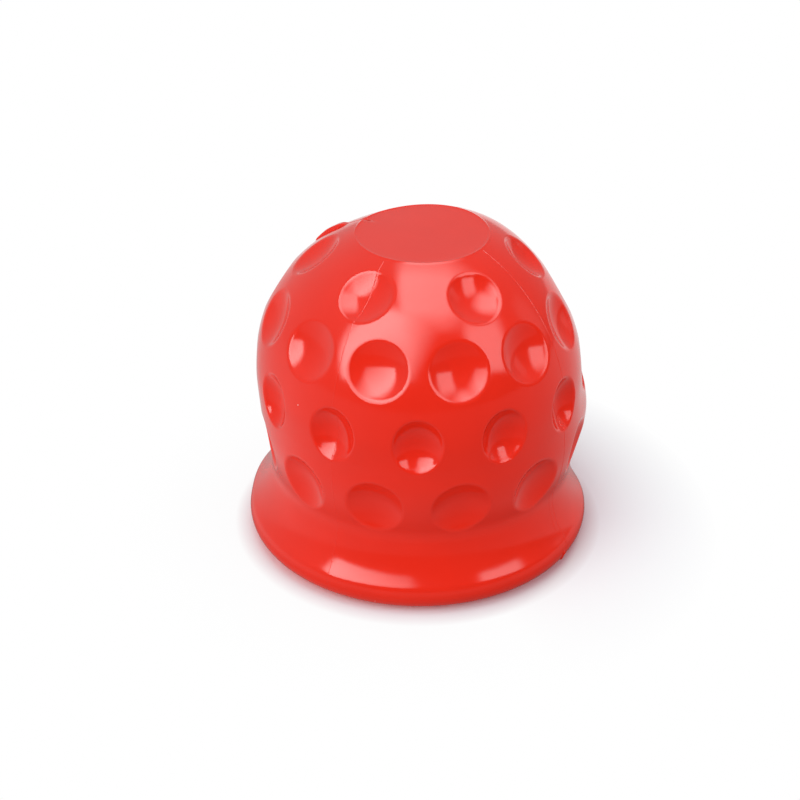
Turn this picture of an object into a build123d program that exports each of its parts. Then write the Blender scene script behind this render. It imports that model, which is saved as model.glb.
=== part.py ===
"""Soft moulded cover for a 50 mm towing ball.

One piece, turned about +Z: a dimpled round head with a flat crown, a waist, and a flared
skirt with the rolled lip that it stands on. Inside, a plain bore closes over the ball.
The origin is the centre of the base ring. Sizes are in millimetres.
"""

import os
from math import atan2, cos, degrees, radians, sin, sqrt

from build123d import *

# Inside, sized to push over the ball
ball_diameter = 50.0
crown_wall = 4.0
mouth_round = 2.0

# Head
head_wall = 5.0
crown_flat_diameter = 24.0
crown_edge_round = 0.5
barrel_height = 6.6

# Belly, waist, skirt and rolled lip. A slope is how far the skirt leans out, in degrees
belly_round = 33.5
waist_round = 6.5
waist_slope = 12.0
skirt_round = 20.0
skirt_slope = 34.0
lip_round = 3.7
base_ring_width = 1.3

# Dimples, in four rows from the crown down. A row's tilt is how far its dimples face up
# and its bearing is where the first one stands from the front, both in degrees
crown_row_tilt = 51.3
crown_row_bearing = 30.0
crown_row_count = 6
crown_row_width = 9.8
crown_row_depth = 1.8
shoulder_row_tilt = 27.8
shoulder_row_bearing = 15.0
shoulder_row_width = 10.5
shoulder_row_depth = 1.75
middle_row_tilt = 3.0
middle_row_bearing = 0.0
middle_row_width = 9.4
middle_row_depth = 2.3
belly_row_tilt = -9.0
belly_row_bearing = 15.0
belly_row_width = 10.6
belly_row_depth = 2.0
full_row_count = 12
dimple_edge_round = 1.2

# Fin left on the head where the moulding was trimmed from its runner
fin_bearing = -120.0
fin_tilt = 52.0
fin_span = 13.0
fin_end_slope = 1.5
fin_height = 0.9
fin_thickness = 1.2
fin_root = 1.0

# Half-section from the base up, as x out from the axis and z up. Every arc rolls against
# the one below it: the skirt on the lip, the waist inside the skirt, the belly on the waist
bore_radius = ball_diameter / 2
head_radius = bore_radius + head_wall
crown_flat_radius = crown_flat_diameter / 2
mouth_x = bore_radius + mouth_round
lip_x = mouth_x + base_ring_width
lip_z = lip_round
skirt_x = lip_x + (lip_round + skirt_round) * cos(radians(skirt_slope))
skirt_z = lip_z + (lip_round + skirt_round) * sin(radians(skirt_slope))
waist_x = skirt_x - (skirt_round - waist_round) * cos(radians(waist_slope))
waist_z = skirt_z - (skirt_round - waist_round) * sin(radians(waist_slope))
belly_x = head_radius - belly_round
barrel_foot_z = waist_z + sqrt((belly_round + waist_round) ** 2 - (waist_x - belly_x) ** 2)
dome_z = barrel_foot_z + barrel_height
overall_height = dome_z + sqrt(head_radius**2 - crown_flat_radius**2)
ball_z = overall_height - crown_wall - bore_radius

crown_angle = degrees(atan2(overall_height - dome_z, crown_flat_radius))
belly_angle = degrees(atan2(waist_z - barrel_foot_z, waist_x - belly_x))

dimple_rows = [
    (crown_row_tilt, crown_row_bearing, crown_row_count, crown_row_width, crown_row_depth),
    (shoulder_row_tilt, shoulder_row_bearing, full_row_count, shoulder_row_width, shoulder_row_depth),
    (middle_row_tilt, middle_row_bearing, full_row_count, middle_row_width, middle_row_depth),
    (belly_row_tilt, belly_row_bearing, full_row_count, belly_row_width, belly_row_depth),
]


def meridian(bearing):
    """The upright plane through the axis on this bearing, x outwards and y up."""
    right = sin(radians(bearing))
    front = -cos(radians(bearing))
    return Plane((0, 0, dome_z), x_dir=(right, front, 0), z_dir=(front, -right, 0))


def dimple_place(tilt, bearing, bowl_offset):
    """Where the ball that presses a dimple stands, with its x axis out of the skin."""
    on_dome = tilt >= 0
    skin_radius = head_radius if on_dome else belly_round
    to_centre = skin_radius + bowl_offset
    out = (0 if on_dome else belly_x) + to_centre * cos(radians(tilt))
    up = (0 if on_dome else barrel_foot_z - dome_z) + to_centre * sin(radians(tilt))
    side = meridian(bearing)
    outward = side.x_dir * cos(radians(tilt)) + Vector(0, 0, sin(radians(tilt)))
    return Plane(side.from_local_coords((out, up, 0)), x_dir=outward, z_dir=side.z_dir)


with BuildPart() as cover:
    with BuildSketch(Plane.YZ):
        with BuildLine():
            Line((0, ball_z + bore_radius), (0, overall_height))
            Line((0, overall_height), (crown_flat_radius, overall_height))
            CenterArc((0, dome_z), head_radius, 0, crown_angle)
            Line((head_radius, dome_z), (head_radius, barrel_foot_z))
            CenterArc((belly_x, barrel_foot_z), belly_round, 0, belly_angle)
            CenterArc((waist_x, waist_z), waist_round, 180 + belly_angle, waist_slope - belly_angle)
            CenterArc((skirt_x, skirt_z), skirt_round, 180 + waist_slope, skirt_slope - waist_slope)
            CenterArc((lip_x, lip_z), lip_round, -90, skirt_slope + 90)
            Line((lip_x, 0), (mouth_x, 0))
            CenterArc((mouth_x, mouth_round), mouth_round, 180, 90)
            Line((bore_radius, mouth_round), (bore_radius, ball_z))
            CenterArc((0, ball_z), bore_radius, 0, 90)
        make_face()
    revolve(axis=Axis.Z)
    fillet(cover.edges().filter_by(GeomType.CIRCLE).group_by(Axis.Z)[-1], crown_edge_round)

    for tilt, first_bearing, count, width, depth in dimple_rows:
        skin_rise = head_radius - sqrt(head_radius**2 - (width / 2) ** 2)
        bowl_rise = depth - skin_rise
        bowl_radius = ((width / 2) ** 2 + bowl_rise**2) / (2 * bowl_rise)
        bearings = [first_bearing + 360 * turn / count for turn in range(count)]
        with Locations(*[dimple_place(tilt, bearing, bowl_radius - depth) for bearing in bearings]):
            Sphere(bowl_radius, mode=Mode.SUBTRACT)
        fillet(cover.edges(Select.NEW), dimple_edge_round)

    fin_foot = fin_tilt - fin_span / 2
    fin_head = fin_tilt + fin_span / 2
    root_radius = head_radius - fin_root
    ridge_radius = head_radius + fin_height
    with BuildSketch(meridian(fin_bearing)):
        with BuildLine():
            Polyline(
                Vector(root_radius, 0).rotate(Axis.Z, fin_foot),
                Vector(ridge_radius, 0).rotate(Axis.Z, fin_foot + fin_end_slope),
                Vector(ridge_radius, 0).rotate(Axis.Z, fin_head - fin_end_slope),
                Vector(root_radius, 0).rotate(Axis.Z, fin_head),
                close=True,
            )
        make_face()
    extrude(amount=fin_thickness / 2, both=True)

cover.part.label = "cover"
os.makedirs("parts", exist_ok=True)
export_step(cover.part, "parts/cover.step")
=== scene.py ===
# %% [markdown]
# A soft cover for a towing ball, moulded in one piece of glossy red plastic. Its round head
# carries four rows of round dimples, and its crown is a flat disc. Below a narrow waist, a
# flared skirt ends in the rolled lip that it stands on. The solid is opened first, as
# a fixed frame in metres, so everything made here goes where the solid says, with no fitting.

# %% Open the solid
from math import atan2, cos, pi, radians, sin, sqrt

import bmesh
import bpy
import numpy as np
from mathutils import Matrix, Vector


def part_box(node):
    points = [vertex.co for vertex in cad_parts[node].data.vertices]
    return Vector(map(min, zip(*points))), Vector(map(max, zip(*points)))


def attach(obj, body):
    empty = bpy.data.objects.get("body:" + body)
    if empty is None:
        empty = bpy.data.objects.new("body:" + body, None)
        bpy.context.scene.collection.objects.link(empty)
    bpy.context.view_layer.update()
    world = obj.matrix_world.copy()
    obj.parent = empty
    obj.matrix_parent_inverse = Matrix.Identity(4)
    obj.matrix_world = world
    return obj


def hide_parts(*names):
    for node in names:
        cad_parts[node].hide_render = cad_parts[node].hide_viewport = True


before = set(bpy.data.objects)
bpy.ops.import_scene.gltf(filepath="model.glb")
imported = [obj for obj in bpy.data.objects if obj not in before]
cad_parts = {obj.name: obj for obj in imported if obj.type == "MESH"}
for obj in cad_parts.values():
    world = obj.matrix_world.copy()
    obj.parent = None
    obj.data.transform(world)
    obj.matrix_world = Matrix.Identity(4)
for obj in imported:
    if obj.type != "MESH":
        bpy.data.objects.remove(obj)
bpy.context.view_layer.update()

# %% [markdown]
# The cover is a turned shape, so one half-section gives all of it: a flat crown with a small
# rounded edge, a dome, a short upright barrel, a belly that draws in to the waist, the flared
# skirt, the rolled lip, and the plain bore inside. The sizes that the solid can tell are read
# from it. The others are written here once, and the arcs that join them are worked out, so
# that each one meets the next without a kink.

# %% Sizes of the half-section
MM = 0.001
solid_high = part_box("cover")[1]
crown_height = solid_high.z
lip_reach = solid_high.x
bore_radius = 25 * MM
head_radius = 30 * MM
crown_flat_radius = 12 * MM
crown_edge_round = 0.5 * MM
crown_wall = 4 * MM
mouth_round = 2 * MM
lip_round = 3.7 * MM
skirt_round = 20 * MM
skirt_slope = radians(34)
waist_round = 6.5 * MM
waist_slope = radians(12)
belly_round = 33.5 * MM

dome_z = crown_height - sqrt(head_radius**2 - crown_flat_radius**2)
ball_z = crown_height - crown_wall - bore_radius
mouth_x = bore_radius + mouth_round
lip_x = lip_reach - lip_round
skirt_x = lip_x + (lip_round + skirt_round) * cos(skirt_slope)
skirt_z = lip_round + (lip_round + skirt_round) * sin(skirt_slope)
waist_x = skirt_x - (skirt_round - waist_round) * cos(waist_slope)
waist_z = skirt_z - (skirt_round - waist_round) * sin(waist_slope)
belly_x = head_radius - belly_round
barrel_foot_z = waist_z + sqrt((belly_round + waist_round) ** 2 - (waist_x - belly_x) ** 2)
edge_z = crown_height - crown_edge_round
edge_x = sqrt((head_radius - crown_edge_round) ** 2 - (edge_z - dome_z) ** 2)
print("dome centre", round(dome_z / MM, 2), "mm up")
print("barrel foot", round(barrel_foot_z / MM, 2), "mm up")
print("waist wall", round((waist_x - waist_round - bore_radius) / MM, 2), "mm")

# %% [markdown]
# The section becomes a run of close points, with a table of the way down along them. The
# dimples are laid out on the skin itself, so a place is asked for by its way down from the
# dome's equator, and the table tells how far out from the axis and how far up it is.

# %% Draw the half-section
fine_step = 0.05 * MM
fewest_points = 4
barrel_points = 100
same_place = 1e-6 * MM


def arc(centre, radius, start, end):
    """Close points along an arc from one angle to another, as rows of out and up."""
    count = max(fewest_points, int(abs(end - start) * radius / fine_step))
    turn = np.linspace(start, end, count)
    return np.column_stack([centre[0] + radius * np.cos(turn), centre[1] + radius * np.sin(turn)])


edge_turn = atan2(edge_z - dome_z, edge_x)
belly_turn = atan2(waist_z - barrel_foot_z, waist_x - belly_x)
outside = np.vstack([
    arc((edge_x, edge_z), crown_edge_round, pi / 2, edge_turn),
    arc((0, dome_z), head_radius, edge_turn, 0),
    np.linspace((head_radius, dome_z), (head_radius, barrel_foot_z), barrel_points),
    arc((belly_x, barrel_foot_z), belly_round, 0, belly_turn),
    arc((waist_x, waist_z), waist_round, pi + belly_turn, pi + waist_slope),
    arc((skirt_x, skirt_z), skirt_round, pi + waist_slope, pi + skirt_slope),
    arc((lip_x, lip_round), lip_round, skirt_slope, -pi / 2),
])
steps = np.hypot(*np.diff(outside, axis=0).T)
outside = outside[np.append(True, steps > same_place)]
way_down = np.append(0, np.cumsum(np.hypot(*np.diff(outside, axis=0).T)))
equator = np.interp(-dome_z, -outside[:, 1], way_down)


def on_skin(way):
    """Out and up on the outside, at a way down the skin measured from the dome's equator."""
    at = np.asarray(way) + equator
    return np.interp(at, way_down, outside[:, 0]), np.interp(at, way_down, outside[:, 1])


def way_at(height):
    """How far down the skin from the dome's equator this height is."""
    return np.interp(-np.asarray(height), -outside[:, 1], way_down) - equator


print("skin from crown edge to foot", round(way_down[-1] / MM, 1), "mm")

# %% [markdown]
# The dimples stand in four rows: six below the crown, then twelve, twelve and twelve, each row
# turned half a step from the one above. On the real cover, round studs of the mould press
# them. Three rows stand on the dome and face away from its middle, and the lowest row stands
# on the belly. In the middle row the dimples are a little taller than wide, so each row has
# its own slimness, which is its width as a share of its height.

# %% Seat the rows of dimples
def seat_row(name, tilt, bearing, count, width, slim, depth):
    """A row of dimples that face up by the tilt, the first one on the bearing from the front."""
    turn = radians(tilt)
    if tilt > 0:
        out = head_radius * cos(turn)
        up = dome_z + head_radius * sin(turn)
    else:
        out = belly_x + belly_round * cos(turn)
        up = barrel_foot_z + belly_round * sin(turn)
    row = {"name": name, "tilt": tilt, "bearing": bearing, "count": count}
    row.update(width=width * MM, slim=slim, depth=depth * MM)
    row.update(out=out, up=up, way=float(way_at(up)))
    return row


rows = [
    seat_row("Crown row", tilt=51.3, bearing=30, count=6, width=9.75, slim=1.0, depth=1.8),
    seat_row("Shoulder row", tilt=27.8, bearing=15, count=12, width=10.5, slim=1.0, depth=1.75),
    seat_row("Middle row", tilt=3.0, bearing=0, count=12, width=10.0, slim=0.87, depth=2.45),
    seat_row("Belly row", tilt=-9.0, bearing=15, count=12, width=10.6, slim=1.0, depth=2.05),
]
margin = 1.1 * MM
edges = [rows[0]["way"] - rows[0]["width"] / 2 - margin]
for upper, lower in zip(rows, rows[1:]):
    edges.append((upper["way"] + upper["width"] / 2 + lower["way"] - lower["width"] / 2) / 2)
edges.append(rows[-1]["way"] + rows[-1]["width"] / 2 + margin)
for row in rows:
    print(row["name"], row["count"], "dimples", round(row["up"] / MM, 1), "mm up")

# %% [markdown]
# A plain turned mesh would cut every dimple's edge into little stairs. So the skin is laid out
# in patches, one for each dimple, whose rings run round the dimple and widen out to the
# patch's four-sided edge, as a modeller lays a round hole into a grid. The helpers come first:
# they put rings of points on the skin, close faces between them, and drop a ring that was
# drawn flat on a dimple's seat onto the skin behind it.

# %% Put rings on the skin
points = []
faces = []
deepest_drop = 4 * MM
highest_lift = 1 * MM
halvings = 40


def add_ring(bearing, out, up):
    """Puts one ring of points round the axis and gives their numbers."""
    first = len(points)
    x = out * np.sin(bearing)
    y = -out * np.cos(bearing)
    points.extend(np.column_stack([x, y, np.broadcast_to(up, x.shape)]).tolist())
    return list(range(first, first + len(x)))


def bridge(ring, following):
    """Closes two rings of equal length with four-sided faces."""
    for here in range(len(ring)):
        on = (here + 1) % len(ring)
        faces.append((ring[here], ring[on], following[on], following[here]))


def close_ring(middle, ring):
    """Closes a ring to one point with three-sided faces."""
    for here in range(len(ring)):
        faces.append((middle, ring[here], ring[(here + 1) % len(ring)]))


def drop_to_skin(row, across, round_turn):
    """Points round a dimple's seat, dropped onto the skin, as bearing and way down."""
    tilt = radians(row["tilt"])
    outward = np.array([0, -cos(tilt), sin(tilt)])
    upward = np.array([0, sin(tilt), cos(tilt)])
    seat = np.array([0, -row["out"], row["up"]])
    aside = np.array([row["slim"], 0, 0])
    round_way = np.cos(round_turn)[:, None] * aside + np.sin(round_turn)[:, None] * upward
    flat = seat + across * round_way
    low = np.full(len(flat), -deepest_drop)
    high = np.full(len(flat), highest_lift)
    for halving in range(halvings):
        middle = (low + high) / 2
        at = flat + middle[:, None] * outward
        skin_out = np.interp(-at[:, 2], -outside[:, 1], outside[:, 0])
        beyond = np.hypot(at[:, 0], at[:, 1]) > skin_out
        high = np.where(beyond, middle, high)
        low = np.where(beyond, low, middle)
    at = flat + high[:, None] * outward
    return np.arctan2(at[:, 0], -at[:, 1]), way_at(at[:, 2])


print("rings drop to within", round((deepest_drop + highest_lift) / MM / 2**halvings, 12), "mm")

# %% [markdown]
# Now the patches are laid, row by row. The rings are closest together across the rolled edge
# of a dimple, where the skin bends most. Neighbouring patches end in the same points.

# %% Lay the patches
columns = 192
side_steps = 16
bowl_rings = 7
rolled_rings = 9
outer_rings = 5
shoulder = 0.75 * MM


def lay_patches(row, top, foot):
    """Lays one row of patches, each from its dimple's middle out to its own edge."""
    side = columns // row["count"]
    half_turn = pi / row["count"]
    along = np.linspace(-half_turn, half_turn, side + 1)
    down = np.linspace(top, foot, side_steps + 1)
    right = np.full(side_steps, half_turn)
    edge_bearing = np.concatenate([along[:-1], right, along[:0:-1], -right])
    edge_way = np.concatenate([np.full(side, top), down[:-1], np.full(side, foot), down[:0:-1]])
    round_turn = np.arctan2(row["way"] - edge_way, edge_bearing * row["out"])
    rim = row["width"] / 2
    bowl = np.linspace(0, rim - shoulder, bowl_rings + 1)[1:]
    rolled = np.linspace(rim - shoulder, rim + shoulder, rolled_rings + 1)[1:]
    rings = [drop_to_skin(row, across, round_turn) for across in [*bowl, *rolled]]
    rolled_bearing, rolled_way = rings[-1]
    for share in np.linspace(0, 1, outer_rings + 1)[1:]:
        ring_bearing = (1 - share) * rolled_bearing + share * edge_bearing
        rings.append((ring_bearing, (1 - share) * rolled_way + share * edge_way))
    for turn in range(row["count"]):
        bearing = radians(row["bearing"]) + 2 * half_turn * turn
        middle = add_ring(np.array([bearing]), row["out"], row["up"])[0]
        ring = None
        for ring_bearing, way in rings:
            following = add_ring(bearing + ring_bearing, *on_skin(way))
            if ring is None:
                close_ring(middle, following)
            else:
                bridge(ring, following)
            ring = following


for row, top, foot in zip(rows, edges, edges[1:]):
    lay_patches(row, top, foot)
print("patches", sum(row["count"] for row in rows), "points", len(points))

# %% [markdown]
# The crown above the dimples, and the waist, skirt, lip and bore below them, have nothing on
# them that isn't round, so they are plainly turned, ring by ring. The mould's flat insert left
# a very fine raised line round the crown's disc, which catches the light in the photo. It is a
# low hump in the section.

# %% Turn the crown, the waist, the lip and the bore
column_bearings = np.linspace(0, 2 * pi, columns, endpoint=False)
on_axis = 1e-4 * MM


def turn_section(section):
    """Turns a stretch of half-section, closing to a point where it reaches the axis."""
    ring = None
    for out, up in section:
        if out < on_axis:
            close_ring(add_ring(np.zeros(1), 0.0, up)[0], ring)
            return
        following = add_ring(column_bearings, np.full(columns, out), up)
        if ring is not None:
            bridge(ring, following)
        ring = following


def hump(distance, width):
    """A smooth hump, 1 in its middle."""
    return np.exp(-((distance / width) ** 2))


crown_rings = 9
disc_line_height = 0.09 * MM
disc_line_width = 0.18 * MM
disc_shares = np.array([0.996, 0.992, 0.988, 0.984, 0.98, 0.95, 0.8, 0.6, 0.4, 0.2, 0.0])
edge_start = way_at(edge_z + crown_edge_round * sin(edge_turn))
up_dome = np.linspace(edges[0], edge_start, crown_rings)
over_edge = np.linspace(edge_start, -equator, crown_rings)[1:]
crown_out, crown_up = on_skin(np.concatenate([up_dome, over_edge]))
crown_out = np.append(crown_out, edge_x * disc_shares)
crown_up = np.append(crown_up, np.full(len(disc_shares), crown_height))
disc_line = disc_line_height * hump(crown_out - edge_x, disc_line_width)
turn_section(zip(crown_out, crown_up + disc_line))

foot_rings = 56
mouth_skip = 8
bore_rings = 16
inner_rings = 25
base_step = 0.5 * MM
foot_way = way_down[-1] - equator
below = np.linspace(edges[-1], foot_way, foot_rings)
base = [(lip_x - base_step, 0.0)]
mouth = arc((mouth_x, mouth_round), mouth_round, 1.5 * pi, pi)[::mouth_skip]
bore = [(bore_radius, up) for up in np.linspace(mouth_round, ball_z, bore_rings)]
inner_turns = np.linspace(0, pi / 2, inner_rings)[1:]
inner_crown = [(bore_radius * cos(t), ball_z + bore_radius * sin(t)) for t in inner_turns]
turn_section([*zip(*on_skin(below)), *base, *mouth, *bore, *inner_crown])
print("with the turned parts", len(points), "points,", len(faces), "faces")

# %% [markdown]
# The patches and the turned parts end in equal points. Joining those closes the skin, and a
# count of edges that don't have two faces shows that nothing is left open.

# %% Join the skin
join_distance = 0.002 * MM
shortest_edge = 0.0005 * MM
skin_mesh = bpy.data.meshes.new("cover_body")
skin_mesh.from_pydata(points, [], faces)
work = bmesh.new()
work.from_mesh(skin_mesh)
bmesh.ops.remove_doubles(work, verts=work.verts, dist=join_distance)
bmesh.ops.dissolve_degenerate(work, edges=work.edges, dist=shortest_edge)
bmesh.ops.recalc_face_normals(work, faces=work.faces)
open_edges = sum(not edge.is_manifold for edge in work.edges)
work.to_mesh(skin_mesh)
work.free()
skin_mesh.shade_smooth()
skin = bpy.data.objects.new("cover_body", skin_mesh)
bpy.context.scene.collection.objects.link(skin)
print("skin", len(skin_mesh.polygons), "faces,", open_edges, "open edges")

# %% [markdown]
# Shaders and node trees need sums, and a sum drawn as boxes and wires is hard to read. This
# small class wraps a node's output, so that an ordinary Python expression adds the Math
# nodes for it. Every other node comes from its one method, which sets the node's settings
# first and its sockets after.

# %% Write node sums as expressions
class Wire:
    """A node's output that can be written into expressions."""

    def __init__(self, socket):
        self.socket = socket

    @staticmethod
    def node(tree, kind, settings=None, sockets=None, out=0):
        """Adds a node, its settings first and then the values or links of its sockets."""
        made = tree.nodes.new(kind)
        for name, setting in (settings or {}).items():
            setattr(made, name, setting)
        for name, value in (sockets or {}).items():
            if isinstance(value, Wire):
                tree.links.new(value.socket, made.inputs[name])
            else:
                made.inputs[name].default_value = value
        return Wire(made.outputs[out]) if made.outputs else made

    def beside(self, kind, operation, sockets, out=0):
        """A node of sums in this value's own tree."""
        return Wire.node(self.socket.id_data, kind, {"operation": operation}, sockets, out)

    def other(self, out):
        """Another output of the same node."""
        return Wire(self.socket.node.outputs[out])

    def maths(self, operation, *values):
        """A Math node on this value and others, in their order."""
        return self.beside("ShaderNodeMath", operation, dict(enumerate((self, *values))))

    def vector(self, operation, *values, out="Vector"):
        """A Vector Math node on this vector and others, in their order."""
        sockets = dict(enumerate((self, *values)))
        return self.beside("ShaderNodeVectorMath", operation, sockets, out)

    def dot(self, vector):
        """How far this vector reaches along another, as a value."""
        return self.vector("DOT_PRODUCT", vector, out="Value")

    def scaled(self, share):
        """This vector times a value."""
        return self.beside("ShaderNodeVectorMath", "SCALE", {0: self, "Scale": share})

    def held(self):
        """This value held between 0 and 1."""
        return self.maths("MAXIMUM", 0.0).maths("MINIMUM", 1.0)

    def ramp(self, start, over):
        """0 up to a start of this value, then rising to 1 over a stretch."""
        return ((self - start) / over).held()

    def reflected(self, operation, first):
        """A Math node with a plain number before this value."""
        return self.beside("ShaderNodeMath", operation, {0: first, 1: self})

    def __add__(self, value):
        return self.maths("ADD", value)

    def __sub__(self, value):
        return self.maths("SUBTRACT", value)

    def __mul__(self, value):
        return self.maths("MULTIPLY", value)

    def __truediv__(self, value):
        return self.maths("DIVIDE", value)

    def __pow__(self, value):
        return self.maths("POWER", value)

    def __radd__(self, first):
        return self.reflected("ADD", first)

    def __rsub__(self, first):
        return self.reflected("SUBTRACT", first)

    def __rmul__(self, first):
        return self.reflected("MULTIPLY", first)

    def __rtruediv__(self, first):
        return self.reflected("DIVIDE", first)


print("node sums ready")

# %% [markdown]
# The cover's plastic is a soft, glossy, bright red. A shader of one colour and one gloss
# would look like a toy's render, so the colour drifts a little over a few millimetres, as
# pigment does in a soft moulding, and a few pale specks of dust lie on it. All patterns read
# Object coordinates, so they stay on the part.

# %% Mix the red
plastic = bpy.data.materials.new("glossy_red_plastic")
plastic.use_nodes = True
nodes = plastic.node_tree
nodes.nodes.clear()
place = Wire.node(nodes, "ShaderNodeTexCoord", out="Object")


def noise(scale, detail, **more):
    """Soft patches on the part: a larger scale makes smaller ones."""
    sockets = {"Vector": place, "Scale": scale, "Detail": detail, **more}
    return Wire.node(nodes, "ShaderNodeTexNoise", None, sockets)


def mix_colours(share, one, other):
    """One colour passing into another."""
    sockets = {"Factor": share, 6: one, 7: other}
    return Wire.node(nodes, "ShaderNodeMix", {"data_type": "RGBA"}, sockets, out=2)


deep_red = (0.71, 0.0180, 0.0058, 1.0)
bright_red = (0.79, 0.0210, 0.0074, 1.0)
pale_dust = (0.75, 0.55, 0.52, 1.0)
speck_scale = 150.0
speck_size = 0.016
bare_share = 0.82
red = mix_colours(noise(scale=130.0, detail=3.0), deep_red, bright_red)
speck_sockets = {"Vector": place, "Scale": speck_scale}
cells = Wire.node(nodes, "ShaderNodeTexVoronoi", {"feature": "F1"}, speck_sockets)
dusty = cells.other("Color").dot((1.0, 0.0, 0.0)).maths("GREATER_THAN", bare_share)
speck = cells.maths("LESS_THAN", speck_size) * dusty
colour = mix_colours(speck, red, pale_dust)
print("red with", round(1 - bare_share, 2), "of its cells dusty")

# %% [markdown]
# The gloss is broken by faint rubbed patches. A very low bump gives the skin the slight
# waviness that bends reflections. It is stronger in a narrow band round the front of the
# barrel, where the soft skin dragged on the mould as it came out.

# %% Polish the plastic
polished = 0.105
rubbed_rise = 0.09
rubbed_from = 0.35
dust_rise = 0.4
band_height = 29.3 * MM
band_half = 1.7 * MM
front_most = -20 * MM
front_fade = 4 * MM
wave_share = 0.9
grain_share = 0.1
drag_share = 3.0
bump_strength = 0.12
bump_distance = 0.12 * MM

rubbed = noise(scale=75.0, detail=5.0, Roughness=0.62)
rubbed = (rubbed - rubbed_from).maths("MAXIMUM", 0.0)
roughness = polished + rubbed_rise * rubbed + dust_rise * speck
rightward = Wire.node(nodes, "ShaderNodeSeparateXYZ", None, {0: place})
off_band = ((rightward.other("Z") - band_height) / band_half).maths("ABSOLUTE")
drag_band = (1 - off_band).maths("MAXIMUM", 0.0)
in_front = 1 - rightward.other("Y").ramp(start=front_most, over=front_fade)
dragged = noise(scale=640.0, detail=2.0, Distortion=1.4) * drag_band * in_front
wave = noise(scale=210.0, detail=1.5)
grain = noise(scale=2600.0, detail=2.0)
relief = wave_share * wave + grain_share * grain + drag_share * dragged
bump_sockets = {"Strength": bump_strength, "Distance": bump_distance, "Height": relief}
bump = Wire.node(nodes, "ShaderNodeBump", None, bump_sockets)
gloss = {"Base Color": colour, "Roughness": roughness, "IOR": 1.5, "Normal": bump}
glossy = Wire.node(nodes, "ShaderNodeBsdfPrincipled", None, gloss)
Wire.node(nodes, "ShaderNodeOutputMaterial", None, {"Surface": glossy})
print("red plastic", len(nodes.nodes), "nodes")

# %% [markdown]
# Now the dimples are pressed in. On the real cover the mould has round studs, each a cap of a
# ball with a softly rounded edge. They repeat by a rule, so Geometry Nodes press them. First
# the tree gets its inputs by name, the same eight for every row.

# %% Name what the press needs
edge_softness = 0.34 * MM
row_kinds = {"count": "Int"}
row_kinds.update(dict.fromkeys(("turn", "tilt", "out", "up", "width", "slim", "depth"), "Float"))
press = bpy.data.node_groups.new("press_dimples", "GeometryNodeTree")


def add_input(tree, name, kind):
    """Names one input of a tree and gives its identifier."""
    socket_type = "NodeSocket" + kind
    return tree.interface.new_socket(name, in_out="INPUT", socket_type=socket_type).identifier


press_values = {}
add_input(press, "Geometry", "Geometry")
press.interface.new_socket("Geometry", in_out="OUTPUT", socket_type="NodeSocketGeometry")
press_values[add_input(press, "Edge softness", "Float")] = edge_softness
press_values[add_input(press, "Skin radius", "Float")] = head_radius
press_values[add_input(press, "Finish", "Material")] = plastic
for row in rows:
    turns = {"turn": radians(row["bearing"] - 90), "tilt": radians(row["tilt"])}
    needed = {**row, **turns}
    for key, kind in row_kinds.items():
        press_values[add_input(press, row["name"] + " " + key, kind)] = needed[key]
print("press inputs", len(press_values))

# %% [markdown]
# Each row is a circle of seats. A seat keeps which way it faces and how wide, slim and deep
# its dimple is, so that the skin can ask for these later.

# %% Stand the seats in circles
given = Wire.node(press, "NodeGroupInput", out="Geometry")
here = Wire.node(press, "GeometryNodeInputPosition")
seats = press.nodes.new("GeometryNodeJoinGeometry")
for row in rows:
    part = {key: given.other(row["name"] + " " + key) for key in row_kinds}
    circle = {"Vertices": part["count"], "Radius": part["out"]}
    ring = Wire.node(press, "GeometryNodeMeshCircle", {"fill_type": "NONE"}, circle)
    raised = Wire.node(press, "ShaderNodeCombineXYZ", None, {"Z": part["up"]})
    turned = Wire.node(press, "ShaderNodeCombineXYZ", None, {"Z": part["turn"]})
    stood = {"Geometry": ring, "Translation": raised, "Rotation": turned}
    ring = Wire.node(press, "GeometryNodeTransform", None, stood)
    level = here.vector("MULTIPLY", (1.0, 1.0, 0.0)).vector("NORMALIZE")
    lift = Wire.node(press, "ShaderNodeCombineXYZ", None, {"Z": part["tilt"].maths("SINE")})
    facing = level.scaled(part["tilt"].maths("COSINE")).vector("ADD", lift)
    for name, kind, value in (
        ("facing", "FLOAT_VECTOR", facing),
        ("width", "FLOAT", part["width"]),
        ("slim", "FLOAT", part["slim"]),
        ("depth", "FLOAT", part["depth"]),
    ):
        ring = Wire.node(
            press,
            "GeometryNodeStoreNamedAttribute",
            {"data_type": kind, "domain": "POINT"},
            {"Geometry": ring, "Name": name, "Value": value},
        )
    press.links.new(ring.socket, seats.inputs[0])
seats = Wire(seats.outputs[0])
print("seats in", len(rows), "circles")

# %% [markdown]
# Every point of the skin finds its nearest seat, and a point that stands above the stud's ball
# is moved down onto it. A smooth minimum of the skin and the ball rounds the dimple's edge.

# %% Press the skin onto the studs
nearest = Wire.node(press, "GeometryNodeSampleNearest", {"domain": "POINT"}, {"Geometry": seats})


def from_seat(kind, value):
    """What the nearest seat holds."""
    return Wire.node(
        press,
        "GeometryNodeSampleIndex",
        {"data_type": kind, "domain": "POINT"},
        {"Geometry": seats, "Value": value, "Index": nearest},
    )


def kept(kind, name):
    """A value kept on the nearest seat."""
    named = "GeometryNodeInputNamedAttribute"
    return from_seat(kind, Wire.node(press, named, {"data_type": kind}, {"Name": name}))


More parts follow.
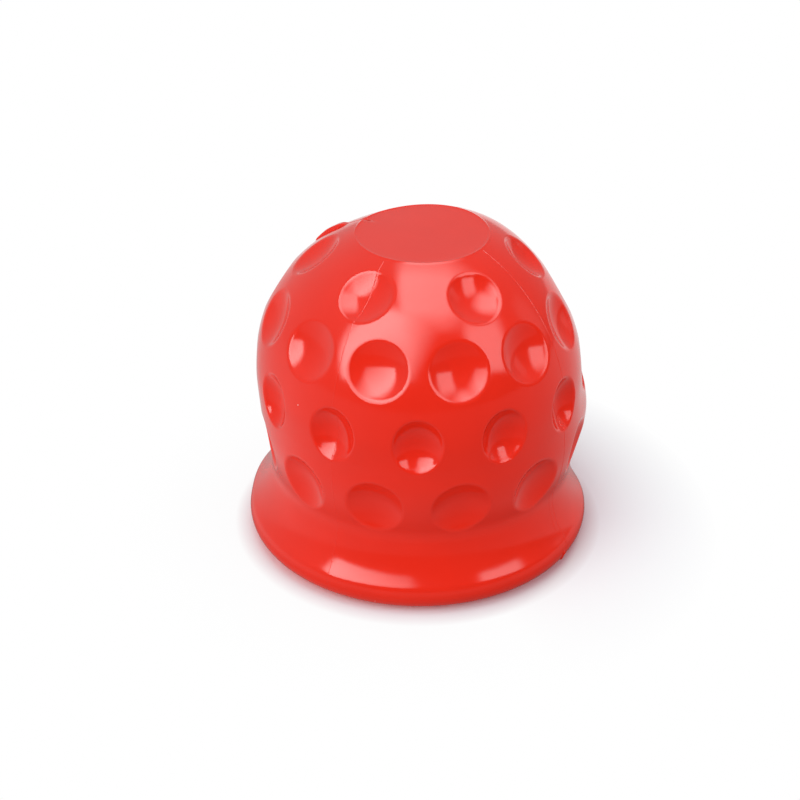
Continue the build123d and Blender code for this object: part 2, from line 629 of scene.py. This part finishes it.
facing = kept("FLOAT_VECTOR", "facing")
half = kept("FLOAT", "width") * 0.5
slim = kept("FLOAT", "slim")
depth = kept("FLOAT", "depth")
softness = given.other("Edge softness")
skin_radius = given.other("Skin radius")
away = here.vector("SUBTRACT", from_seat("FLOAT_VECTOR", here))
height = away.dot(facing)
level = away.vector("SUBTRACT", facing.scaled(height))
aside = level.dot(facing.vector("CROSS_PRODUCT", (0.0, 0.0, 1.0)).vector("NORMALIZE"))
across = level.dot(level) + aside * aside * (1 / (slim * slim) - 1)
rise = depth - skin_radius + (skin_radius * skin_radius - half * half).maths("SQRT")
ball = (half * half + rise * rise) / (2 * rise)
bowl = ball - depth - (ball * ball - across).maths("MAXIMUM", 0.0).maths("SQRT")
near = (softness - (height - bowl).maths("ABSOLUTE")).maths("MAXIMUM", 0.0) / softness
pressed = height.maths("MINIMUM", bowl) - near * near * softness * 0.25
push = {"Geometry": given, "Offset": facing.scaled(pressed - height)}
moved = Wire.node(press, "GeometryNodeSetPosition", None, push)


def finish_tree(tree, shape, finish):
    """Ends a tree: its copies become real, and the finish goes on."""
    whole = Wire.node(tree, "GeometryNodeRealizeInstances", None, {"Geometry": shape})
    coated = {"Geometry": whole, "Material": finish}
    coated = Wire.node(tree, "GeometryNodeSetMaterial", None, coated)
    Wire.node(tree, "NodeGroupOutput", None, {"Geometry": coated})


finish_tree(press, moved, given.other("Finish"))
print("press", len(press.nodes), "nodes")

# %% [markdown]
# The tree runs as a modifier, and what it makes is kept as a plain mesh. No modifier is left,
# so the piece can be given to the frame as it is.

# %% Run the press
def bake_tree(piece, tree, values):
    """Runs a tree on a piece and keeps the result as a plain mesh, with no modifier left."""
    modifier = piece.modifiers.new(tree.name, "NODES")
    modifier.node_group = tree
    for identifier, value in values.items():
        modifier[identifier] = value
    bpy.context.view_layer.update()
    graph = bpy.context.evaluated_depsgraph_get()
    made = bpy.data.meshes.new_from_object(piece.evaluated_get(graph), depsgraph=graph)
    made.name = piece.name
    kept_mesh = bpy.data.objects.new(piece.name + "_made", made)
    bpy.context.scene.collection.objects.link(kept_mesh)
    name = piece.name
    bpy.data.objects.remove(piece)
    kept_mesh.name = name
    return kept_mesh


skin = bake_tree(skin, press, press_values)
print("pressed skin", len(skin.data.polygons), "faces")

# %% [markdown]
# A soft moulding is never quite true. This one has set with its belly pushed to the right and
# its shoulder a little to the left, more at the sides and the back than at the front. Its crown
# stands a little to the right, and the back of its lip to the left. All of these are soft humps
# in the skin, which a modeller would give it with a large soft brush.

# %% Let the skin settle
places = np.zeros(len(skin.data.vertices) * 3)
skin.data.vertices.foreach_get("co", places)
places = places.reshape(-1, 3)
axis_gap = 0.001 * MM
lip_widening = 0.009
skew_fade = 10 * MM


def push_at(height, push, width):
    """A sideways push that is strongest at one height."""
    return push * hump(places[:, 2] - height, width)


behind = 0.5 + 0.5 * places[:, 1] / np.maximum(np.hypot(places[:, 0], places[:, 1]), axis_gap)
at_side = 1 - (1 - behind) ** 3
belly_push = push_at(height=20.5 * MM, push=1.1 * MM, width=9 * MM)
shoulder_push = push_at(height=48 * MM, push=-0.4 * MM, width=8 * MM)
crown_push = push_at(height=crown_height, push=0.3 * MM, width=5 * MM)
in_back = 1 - hump(np.maximum(places[:, 1], 0), skew_fade)
lip_skew = push_at(height=0, push=-1.4 * MM, width=9 * MM) * in_back
lip_spread = push_at(height=0, push=lip_widening, width=9 * MM) * places[:, 0]
sideways = (belly_push + shoulder_push) * at_side + lip_skew + lip_spread + crown_push
print("pushed from", round(sideways.min() / MM, 2), "to", round(sideways.max() / MM, 2), "mm")

# %% [markdown]
# In four places the skin swells or sinks a little, away from the middle of the dome or towards
# it. At the crown's edge there is a very small nick where the cover was trimmed, on the same
# bearing as the fin that comes later. The skin's points are moved once, for all of this.

# %% Swell the skin and nick its crown
swells = [
    {"at": (12, 14, 56), "push": 0.6, "width": 11},
    {"at": (-8, 14, 57), "push": -0.3, "width": 7},
    {"at": (-28, 6, 42), "push": 0.25, "width": 14},
    {"at": (30.5, 2, 26), "push": 0.85, "width": 5.5},
]
fin_bearing = -120
nick_deep = 0.5 * MM
nick_width = 0.45 * MM
dome_centre = np.array([0, 0, dome_z])
swollen = np.zeros_like(places)
for swell in swells:
    at = np.array(swell["at"]) * MM
    outward = (at - dome_centre) / np.linalg.norm(at - dome_centre)
    away = np.linalg.norm(places - at, axis=1)
    swollen += swell["push"] * MM * hump(away, swell["width"] * MM)[:, None] * outward
fin_way = np.array([sin(radians(fin_bearing)), -cos(radians(fin_bearing)), 0.0])
nick = edge_x * fin_way + np.array([0, 0, crown_height])
nick_depth = nick_deep * hump(np.linalg.norm(places - nick, axis=1), nick_width)
places += swollen - nick_depth[:, None] * (fin_way + np.array([0, 0, 1]))
places[:, 0] += sideways
skin.data.vertices.foreach_set("co", places.ravel())
skin.data.update()
print("swells", len(swells), "and a nick", round(nick_depth.max() / MM, 2), "mm deep")

# %% [markdown]
# The mould closes from four sides, and where two of its parts meet, a fine line of plastic
# creeps into the joint. The lines run down over the dimples from the crown to the foot, so
# Geometry Nodes lay them: a bowed path stands off the cover, it is copied round the axis, every
# point of it looks towards the middle of the cover and lands where it meets the skin, and a
# thin round bead is swept along, sunk so far that only its back shows.

# %% Draw the tree for the parting lines
path_points = 320
bead_sides = 10
look_length = 1.0
lines = bpy.data.node_groups.new("run_parting_lines", "GeometryNodeTree")
line_inputs = {"Geometry": add_input(lines, "Geometry", "Geometry")}
lines.interface.new_socket("Geometry", in_out="OUTPUT", socket_type="NodeSocketGeometry")
line_inputs["Lines"] = add_input(lines, "Lines", "Int")
path_inputs = ("First turn", "Middle height", "Stand off", "Foot angle", "Sweep")
for name in (*path_inputs, "Bead radius", "Proud"):
    line_inputs[name] = add_input(lines, name, "Float")
line_inputs["Finish"] = add_input(lines, "Finish", "Material")

given = Wire.node(lines, "NodeGroupInput", out="Geometry")
bow = {
    "Resolution": path_points,
    "Radius": given.other("Stand off"),
    "Start Angle": given.other("Foot angle"),
    "Sweep Angle": given.other("Sweep"),
}
path = Wire.node(lines, "GeometryNodeCurveArc", {"mode": "RADIUS"}, bow, out="Curve")
centre = Wire.node(lines, "ShaderNodeCombineXYZ", None, {"Z": given.other("Middle height")})
upright = {"Geometry": path, "Translation": centre, "Rotation": (pi / 2, 0.0, 0.0)}
path = Wire.node(lines, "GeometryNodeTransform", None, upright)
starts = Wire.node(lines, "GeometryNodePoints", None, {"Count": given.other("Lines")})
number = Wire.node(lines, "GeometryNodeInputIndex")
turn = given.other("First turn") + number * (2 * pi) / given.other("Lines")
turned = Wire.node(lines, "ShaderNodeCombineXYZ", None, {"Z": turn})
copied = {"Points": starts, "Instance": path, "Rotation": turned}
copies = Wire.node(lines, "GeometryNodeInstanceOnPoints", None, copied)
laid = Wire.node(lines, "GeometryNodeRealizeInstances", None, {"Geometry": copies})
here = Wire.node(lines, "GeometryNodeInputPosition")
inward = centre.vector("SUBTRACT", here)
look = {"Target Geometry": given, "Ray Direction": inward, "Ray Length": look_length}
met = Wire.node(lines, "GeometryNodeRaycast", {"data_type": "FLOAT"}, look, out="Hit Position")
sunk = met.other("Hit Normal").scaled(given.other("Proud") - given.other("Bead radius"))
landed = {"Geometry": laid, "Position": met.vector("ADD", sunk)}
laid = Wire.node(lines, "GeometryNodeSetPosition", None, landed)
round_bead = {"Resolution": bead_sides, "Radius": given.other("Bead radius")}
bead = Wire.node(lines, "GeometryNodeCurvePrimitiveCircle", {"mode": "RADIUS"}, round_bead)
swept = {"Curve": laid, "Profile Curve": bead, "Fill Caps": True}
swept = Wire.node(lines, "GeometryNodeCurveToMesh", None, swept)
finish_tree(lines, swept, given.other("Finish"))
print("parting-line tree", len(lines.nodes), "nodes")

# %% [markdown]
# Two lines face the front left and the back right, and two face the other sides. The one on
# the right doubles at the waist, where a sliver crept past the mould's edge. So the same tree
# runs three times.

# %% Run the parting lines
look_height = 20 * MM
stand_off = 60 * MM


def run_lines(name, bearing, copies, foot, head, bead_radius, proud):
    """Lays parting lines from one angle to another above the middle, and gives their piece."""
    values = {
        "Lines": copies,
        "First turn": radians(bearing - 90),
        "Middle height": look_height,
        "Stand off": stand_off,
        "Foot angle": radians(foot),
        "Sweep": radians(head - foot),
        "Bead radius": bead_radius * MM,
        "Proud": proud * MM,
        "Finish": plastic,
    }
    piece = bpy.data.objects.new(name, skin.data)
    bpy.context.scene.collection.objects.link(piece)
    piece = bake_tree(piece, lines, {line_inputs[key]: value for key, value in values.items()})
    piece.data.shade_smooth()
    print(name, len(piece.data.polygons), "faces")
    return piece


whole_way = {"copies": 2, "foot": -31, "head": 72.5, "bead_radius": 0.25}
at_waist = {"copies": 1, "foot": -22, "head": -6, "bead_radius": 0.2}
pieces = [
    run_lines("parting_front", bearing=-30, proud=0.03, **whole_way),
    run_lines("parting_sides", bearing=60, proud=0.05, **whole_way),
    run_lines("parting_double", bearing=57.5, proud=0.05, **at_waist),
]

# %% [markdown]
# High at the back of the head stands a short fin, left where the cover was cut from its runner.
# It follows the dome. Where the right parting line meets the lip, two ragged stubs of flash are
# left. All of them are thin webs on an arc of the section, so one function makes them: it walks
# along the arc and sets a small ring of points at each step.

# %% Make thin webs
stations = np.linspace(0, 1, 25)
upright = np.array([0.0, 0.0, 1.0])
web_root = 1 * MM
crest_bevel = 0.4
crest_width = 0.7


def stand_webs(name, webs):
    """Makes one piece of thin webs, each with its own crest along an arc of the half-section."""
    web_points = []
    web_faces = []
    for web in webs:
        turn = radians(web["bearing"])
        out_way = np.array([sin(turn), -cos(turn), 0.0])
        aside_way = np.array([cos(turn), sin(turn), 0.0])
        middle = web["centre"][0] * out_way + web["centre"][1] * upright
        half = web["thickness"] * MM / 2
        for share in stations:
            tilt = radians(web["foot"] + share * (web["head"] - web["foot"]))
            outward = cos(tilt) * out_way + sin(tilt) * upright
            rise = np.interp(share, *web["crest"]) * MM
            bevelled = rise - crest_bevel * half
            ring = [(half, -web_root), (half, bevelled), (crest_width * half, rise)]
            ring += [(-aside, up) for aside, up in reversed(ring)]
            start = len(web_points)
            before = start - len(ring)
            for aside, up in ring:
                web_points.append(middle + (web["radius"] + up) * outward + aside * aside_way)
            if share > 0:
                for here in range(len(ring)):
                    on = (here + 1) % len(ring)
                    web_faces.append((start + here, start + on, before + on, before + here))
            if share in (0, 1):
                web_faces.append(tuple(range(start, start + len(ring))))
    web_mesh = bpy.data.meshes.new(name)
    web_mesh.from_pydata([tuple(point) for point in web_points], [], web_faces)
    work = bmesh.new()
    work.from_mesh(web_mesh)
    bmesh.ops.recalc_face_normals(work, faces=work.faces)
    work.to_mesh(web_mesh)
    work.free()
    web_mesh.materials.append(plastic)
    piece = bpy.data.objects.new(name, web_mesh)
    bpy.context.scene.collection.objects.link(piece)
    print(name, len(web_mesh.polygons), "faces")
    return piece


print("webs of", len(stations), "steps")

# %% [markdown]
# The fin's crest is nearly level and falls away at both ends. The flash was torn, so the crests
# of its stubs go up and down. A crest is written as shares of its length and heights in
# millimetres above the skin.

# %% Stand the fin on the head and the flash on the lip
fin_crest = ((0, 0.1, 0.45, 0.76, 0.86, 1), (-0.1, 0.45, 0.66, 0.48, 0.3, -0.3))
upper_crest = ((0, 0.2, 0.35, 0.6, 1), (-0.1, 0.2, 0.12, 0.25, -0.1))
lower_crest = ((0, 0.15, 0.4, 0.55, 0.8, 1), (0.05, 0.42, 0.3, 0.45, 0.18, -0.1))
fin = {"bearing": fin_bearing, "foot": 42, "head": 60, "crest": fin_crest, "thickness": 1.2}
upper_stub = {"bearing": 59.8, "foot": -2, "head": 38, "crest": upper_crest, "thickness": 0.3}
lower_stub = {"bearing": 58.0, "foot": -38, "head": 14, "crest": lower_crest, "thickness": 0.5}
fin.update(centre=(0.0, dome_z), radius=head_radius)
for stub in (upper_stub, lower_stub):
    stub.update(centre=(lip_x, lip_round), radius=lip_round)
pieces.append(stand_webs("trim_fin", [fin]))
pieces.append(stand_webs("lip_flash", [upper_stub, lower_stub]))

# %% [markdown]
# The cover stands on a plain white table, large enough to fill the picture.

# %% Lay the table
table_half = 3.0
ways = [(-1, -1), (1, -1), (1, 1), (-1, 1)]
corners = [(x * table_half, y * table_half, 0) for x, y in ways]
floor_mesh = bpy.data.meshes.new("table")
floor_mesh.from_pydata(corners, [], [(0, 1, 2, 3)])
table = bpy.data.objects.new("table", floor_mesh)
bpy.context.scene.collection.objects.link(table)
print("table", 2 * table_half, "m across")

# %% [markdown]
# In the photo the table is white nearly everywhere. There is a soft shadow at the right, and a
# dark, slightly red line where the lip touches down. So to the camera the table is lit card
# only where these fall, and plain white elsewhere, with a painted shadow laid over the line at
# the lip. To the cover's gloss and its other light the table is a painted glow, not lit card. The
# gloss mirrors it darker at the front, darker close to the lip as a painted shadow, and brighter
# straight behind. The glow that lights the cover is painted bounce light, and it comes more from
# the left.

# %% Look at the table three ways
# The table glows to the cover's gloss and to its other light as painted light: a painted shadow
# close to the lip, and painted bounce light.
gloss_level = 0.56
front_fall = 0.26
far_front_fall = 0.12
back_rise = 0.05
straight_back_rise = 0.35
right_back_rise = 0.33
left_rise = 0.12
lip_shade = 0.4
lip_side_shade = 0.2
bounce_glow_level = 0.97
bounce_glow_left_rise = 0.40
bounce_glow_back_rise = 0.2
white = bpy.data.materials.new("white_table")
white.use_nodes = True
nodes = white.node_tree
nodes.nodes.clear()
place = Wire.node(nodes, "ShaderNodeTexCoord", out="Object")
seen = Wire.node(nodes, "ShaderNodeLightPath", out="Is Camera Ray")
mirrored = seen.other("Is Glossy Ray").maths("MAXIMUM", seen.other("Is Transmission Ray"))
spread = place.vector("LENGTH", out="Value")
rightward = Wire.node(nodes, "ShaderNodeSeparateXYZ", None, {0: place.vector("NORMALIZE")})
backward = rightward.other("Y")
to_back = backward.maths("MAXIMUM", 0.0)
to_front = backward.maths("MINIMUM", 0.0)
to_right = rightward.maths("MAXIMUM", 0.0)

further = spread.ramp(start=55 * MM, over=30 * MM)
near_lip = 1 - spread.ramp(start=36 * MM, over=8 * MM)
around = gloss_level + to_front * (front_fall + far_front_fall * further)
around = around + back_rise * to_back + straight_back_rise * to_back**4
around = around + rightward * (right_back_rise * to_back - left_rise)
# Close to the lip the glow in the gloss is dimmed: a painted shadow.
painted_lip_shade = lip_shade + lip_side_shade * rightward.maths("ABSOLUTE")
in_gloss = around * (1 - painted_lip_shade * near_lip)
# Painted bounce light: the table glows at the cover, more from the left.
painted_bounce_glow = bounce_glow_level - bounce_glow_left_rise * rightward + bounce_glow_back_rise * backward
unseen_level = mirrored * in_gloss + (1 - mirrored) * painted_bounce_glow
white_and_painted_glow = seen + (1 - seen) * unseen_level
print("table levels", len(nodes.nodes), "nodes")

# %% [markdown]
# The soft shadow fades out with the distance from the cover and is kept to the right and the
# back. The contact shadow follows the lip all round. Over it lies a painted shadow, a dark red
# glow mixed into the table close to the lip and stronger at the right, whose red is painted
# bounce light from the cover.

# %% Let the shadow show
card_colour = (0.79, 0.83, 0.875, 1.0)
# A dark red glow painted over the table close to the lip: painted contact shadow with painted red
# bounce light.
painted_shade_colour = (0.25, 0.0, 0.02, 1.0)
least_shade = 0.06
middle_shade = 0.1
right_shade = 0.9
back_shade = 0.5
middle_painted_shade = 0.09
right_painted_shade = 0.36
off_cover = spread.ramp(start=36 * MM, over=22 * MM)
close_by = 1 - spread.ramp(start=31.3 * MM, over=4.2 * MM)
shade = middle_shade + right_shade * rightward + back_shade * backward
shade = shade.maths("MAXIMUM", least_shade).maths("MINIMUM", 1.0)
shadowed = (shade * (1 - off_cover)).maths("MAXIMUM", close_by)
card = Wire.node(nodes, "ShaderNodeBsdfDiffuse", None, {"Color": card_colour})
bright = Wire.node(nodes, "ShaderNodeEmission", None, {"Color": white_and_painted_glow, "Strength": 1.0})
# The painted contact shadow, as a glow.
painted_contact_shade = Wire.node(nodes, "ShaderNodeEmission", None, {"Color": painted_shade_colour, "Strength": 1.0})
lit_sheet = {0: 1 - seen * shadowed, 1: card, 2: bright}
sheet = Wire.node(nodes, "ShaderNodeMixShader", None, lit_sheet)
# How much painted contact shadow is mixed in, close to the lip and more at the right.
painted_shade_share = seen * close_by * (middle_painted_shade + right_painted_shade * to_right)
painted_shade_mix = {0: painted_shade_share, 1: sheet, 2: painted_contact_shade}
sheet = Wire.node(nodes, "ShaderNodeMixShader", None, painted_shade_mix)
Wire.node(nodes, "ShaderNodeOutputMaterial", None, {"Surface": sheet})
floor_mesh.materials.append(white)
print("white table", len(nodes.nodes), "nodes")

# %% [markdown]
# Two large soft boxes, one high at the left and one at the right, and a third overhead light
# the cover and give the broad pale reflections on it. A weak fourth one at the far right
# brightens that side's edge. Each is written as the way it stands in and how far it reaches to
# its four sides from there. The lamps light the cover, and what its gloss shows of them comes
# with the room, where their edges can be shaped.

# %% Hang the soft boxes
aim = Vector((0, 0, 30 * MM))
hang = 1.0


def hang_box(name, bearing, rise, roll, reach, fade, glow, shine, **shape):
    """Hangs one lamp. Reach and fade go left, right, down and up, shine from left to right."""
    turn = radians(bearing)
    up = radians(rise)
    way = Vector((cos(up) * sin(turn), -cos(up) * cos(turn), sin(up)))
    axes = way.to_track_quat("Z", "Y").to_matrix() if rise < 90 else Matrix.Identity(3)
    axes = axes @ Matrix.Rotation(radians(roll), 3, "Z")
    to_left, to_right, to_low, to_high = reach
    light = bpy.data.lights.new(name + "_box", "AREA")
    light.shape = "RECTANGLE"
    light.size = hang * (to_left + to_right)
    light.size_y = hang * (to_low + to_high)
    light.energy = glow * light.size * light.size_y * pi
    lamp = bpy.data.objects.new(name + "_box", light)
    bpy.context.scene.collection.objects.link(lamp)
    middle = axes @ Vector(((to_right - to_left) / 2, (to_high - to_low) / 2, 1.0))
    lamp.matrix_world = Matrix.Translation(aim + hang * middle) @ axes.to_4x4()
    lamp.visible_glossy = False
    print(lamp.name, round(light.size, 2), "by", round(light.size_y, 2), "m")
    plain = {"lean": (0.0, 0.0), "spread": (0.1, 0.1), "slant": 0.0, "most": max(shine)}
    return {**plain, "axes": axes, "reach": reach, "fade": fade, "shine": shine, **shape}


boxes = [
    hang_box(
        "left", bearing=-38.0, rise=49.5, roll=17.0, reach=(0.585, 0.545, 0.655, 0.32),
        fade=(0.07, 0.12, 0.07, 0.16), glow=1.72, shine=(9.7, 4.5),
        lean=(0.50, -0.14), spread=(0.35, 0.9), slant=1.14, most=7.2,
    ),
    hang_box(
        "right", bearing=63.0, rise=35.7, roll=-20.0, reach=(0.27, 0.24, 0.37, 0.25),
        fade=(0.07, 0.10, 0.07, 0.30), glow=2.0, shine=(3.5, 3.2),
    ),
    hang_box(
        "top", bearing=0.0, rise=90.0, roll=0.0, reach=(0.24, 0.55, 0.575, 0.33),
        fade=(0.05, 0.50, 0.42, 0.50), glow=0.95, shine=(5.6, 4.1),
    ),
    hang_box(
        "side", bearing=107.0, rise=16.0, roll=0.0, reach=(0.15, 0.15, 0.2, 0.3),
        fade=(0.10, 0.15, 0.15, 0.20), glow=1.7, shine=(0.6, 0.5), spread=(0.0, 0.0),
    ),
]

# %% [markdown]
# The rest of the light is the room's. It is plain white to the camera and evenly pale as a
# light. In the gloss it is darker behind the camera, which keeps the front of the cover a deep
# red, and it holds the soft boxes as the gloss shows them, with edges that fade out more at
# the top than at the foot.

# %% Light the room
world = bpy.data.worlds.new("room")
bpy.context.scene.world = world
world.use_nodes = True
nodes = world.node_tree
nodes.nodes.clear()
way = Wire.node(nodes, "ShaderNodeTexCoord", out="Generated")
rightward = Wire.node(nodes, "ShaderNodeSeparateXYZ", None, {0: way})
backward = rightward.other("Y")
upward = rightward.other("Z")
seen = Wire.node(nodes, "ShaderNodeLightPath", out="Is Camera Ray")
mirrored = seen.other("Is Glossy Ray")
least_ahead = 0.01
least_shine = 0.3
room_level = 0.25
room_left_rise = 0.18
room_back_rise = 0.27
room_top_rise = 0.28
room_least = 0.06
light_level = 0.57
light_right_rise = 0.06
light_low_rise = 0.13


def box_shine(box):
    """How bright a soft box looks in the cover's gloss, over all ways to look."""
    side, upright, face = (tuple(axis) for axis in box["axes"].transposed())
    ahead = way.dot(face).maths("MAXIMUM", least_ahead)
    across = way.dot(side) / ahead
    along = way.dot(upright) / ahead
    to_left, to_right, to_low, to_high = box["reach"]
    left_fade, right_fade, low_fade, high_fade = box["fade"]
    left_lean, right_lean = box["lean"]
    left_spread, right_spread = box["spread"]
    height = ((along + to_low) / (to_low + to_high)).held()
    left_fade = left_fade + left_spread * height * height
    right_fade = right_fade + right_spread * height * height
    inside = ((across + to_left - left_lean * height**3) / left_fade + 0.5).held()
    inside = inside * ((to_right + right_lean * height**3 - across) / right_fade + 0.5).held()
    inside = inside * ((along + to_low) / low_fade + 0.5).held()
    inside = inside * ((to_high - along) / high_fade + 0.5).held()
    at_left, at_right = box["shine"]
    share = (across - box["slant"] * along + to_left) / (to_left + to_right)
    level = at_left + (at_right - at_left) * share
    return inside * level.maths("MINIMUM", box["most"]).maths("MAXIMUM", least_shine)


shine = room_level - room_left_rise * rightward + room_back_rise * backward
shine = (shine + room_top_rise * upward).maths("MAXIMUM", room_least)
for box in boxes:
    shine = shine.maths("MAXIMUM", box_shine(box))
as_light = light_level + light_right_rise * rightward - light_low_rise * upward
level = seen + mirrored * shine + (1 - seen - mirrored) * as_light
sky = Wire.node(nodes, "ShaderNodeBackground", None, {"Color": level, "Strength": 1.0})
Wire.node(nodes, "ShaderNodeOutputWorld", None, {"Surface": sky})
bpy.context.scene.view_settings.view_transform = "Standard"
print("room", len(nodes.nodes), "nodes")

# %% [markdown]
# The camera looks down at the cover by about thirty degrees from half an arm's length. Its
# place and its lens come from the curve of the crown disc and the rows of dimples. It is
# turned a little off the cover's middle, as it was when the picture was framed.

# %% Place the camera
picture = 800
focal_pixels = 1680
film_width = 36
nearest_seen = 0.01
looking_down = radians(29.95)
camera_distance = 310.95 * MM
middle = Vector((0, 0, 32.5 * MM))
middle_pixel = (418.9, 367.9)
lean = radians(0.70)
eye = middle + camera_distance * Vector((0, -cos(looking_down), sin(looking_down)))
camera_data = bpy.data.cameras.new("camera")
camera_data.sensor_width = film_width
camera_data.lens = film_width * focal_pixels / picture
camera_data.clip_start = nearest_seen
camera = bpy.data.objects.new("camera", camera_data)
bpy.context.scene.collection.objects.link(camera)
straight = (eye - middle).to_track_quat("Z", "Y").to_matrix()
pixels_right = middle_pixel[0] - picture / 2
pixels_up = picture / 2 - middle_pixel[1]
aside = Vector((pixels_right, pixels_up, -focal_pixels)).normalized()
swing = aside.rotation_difference(Vector((0, 0, -1))).to_matrix()
turned = straight @ Matrix.Rotation(lean, 3, "Z") @ swing
camera.matrix_world = Matrix.Translation(eye) @ turned.to_4x4()
bpy.context.scene.camera = camera
print("camera lens", round(camera_data.lens, 2), "mm")

# %% [markdown]
# The pieces ride on the frame's one body, and the skin stands in for the plain solid.

# %% Hand the pieces to the frame
for piece in [skin, *pieces]:
    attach(piece, "root")
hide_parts("cover")
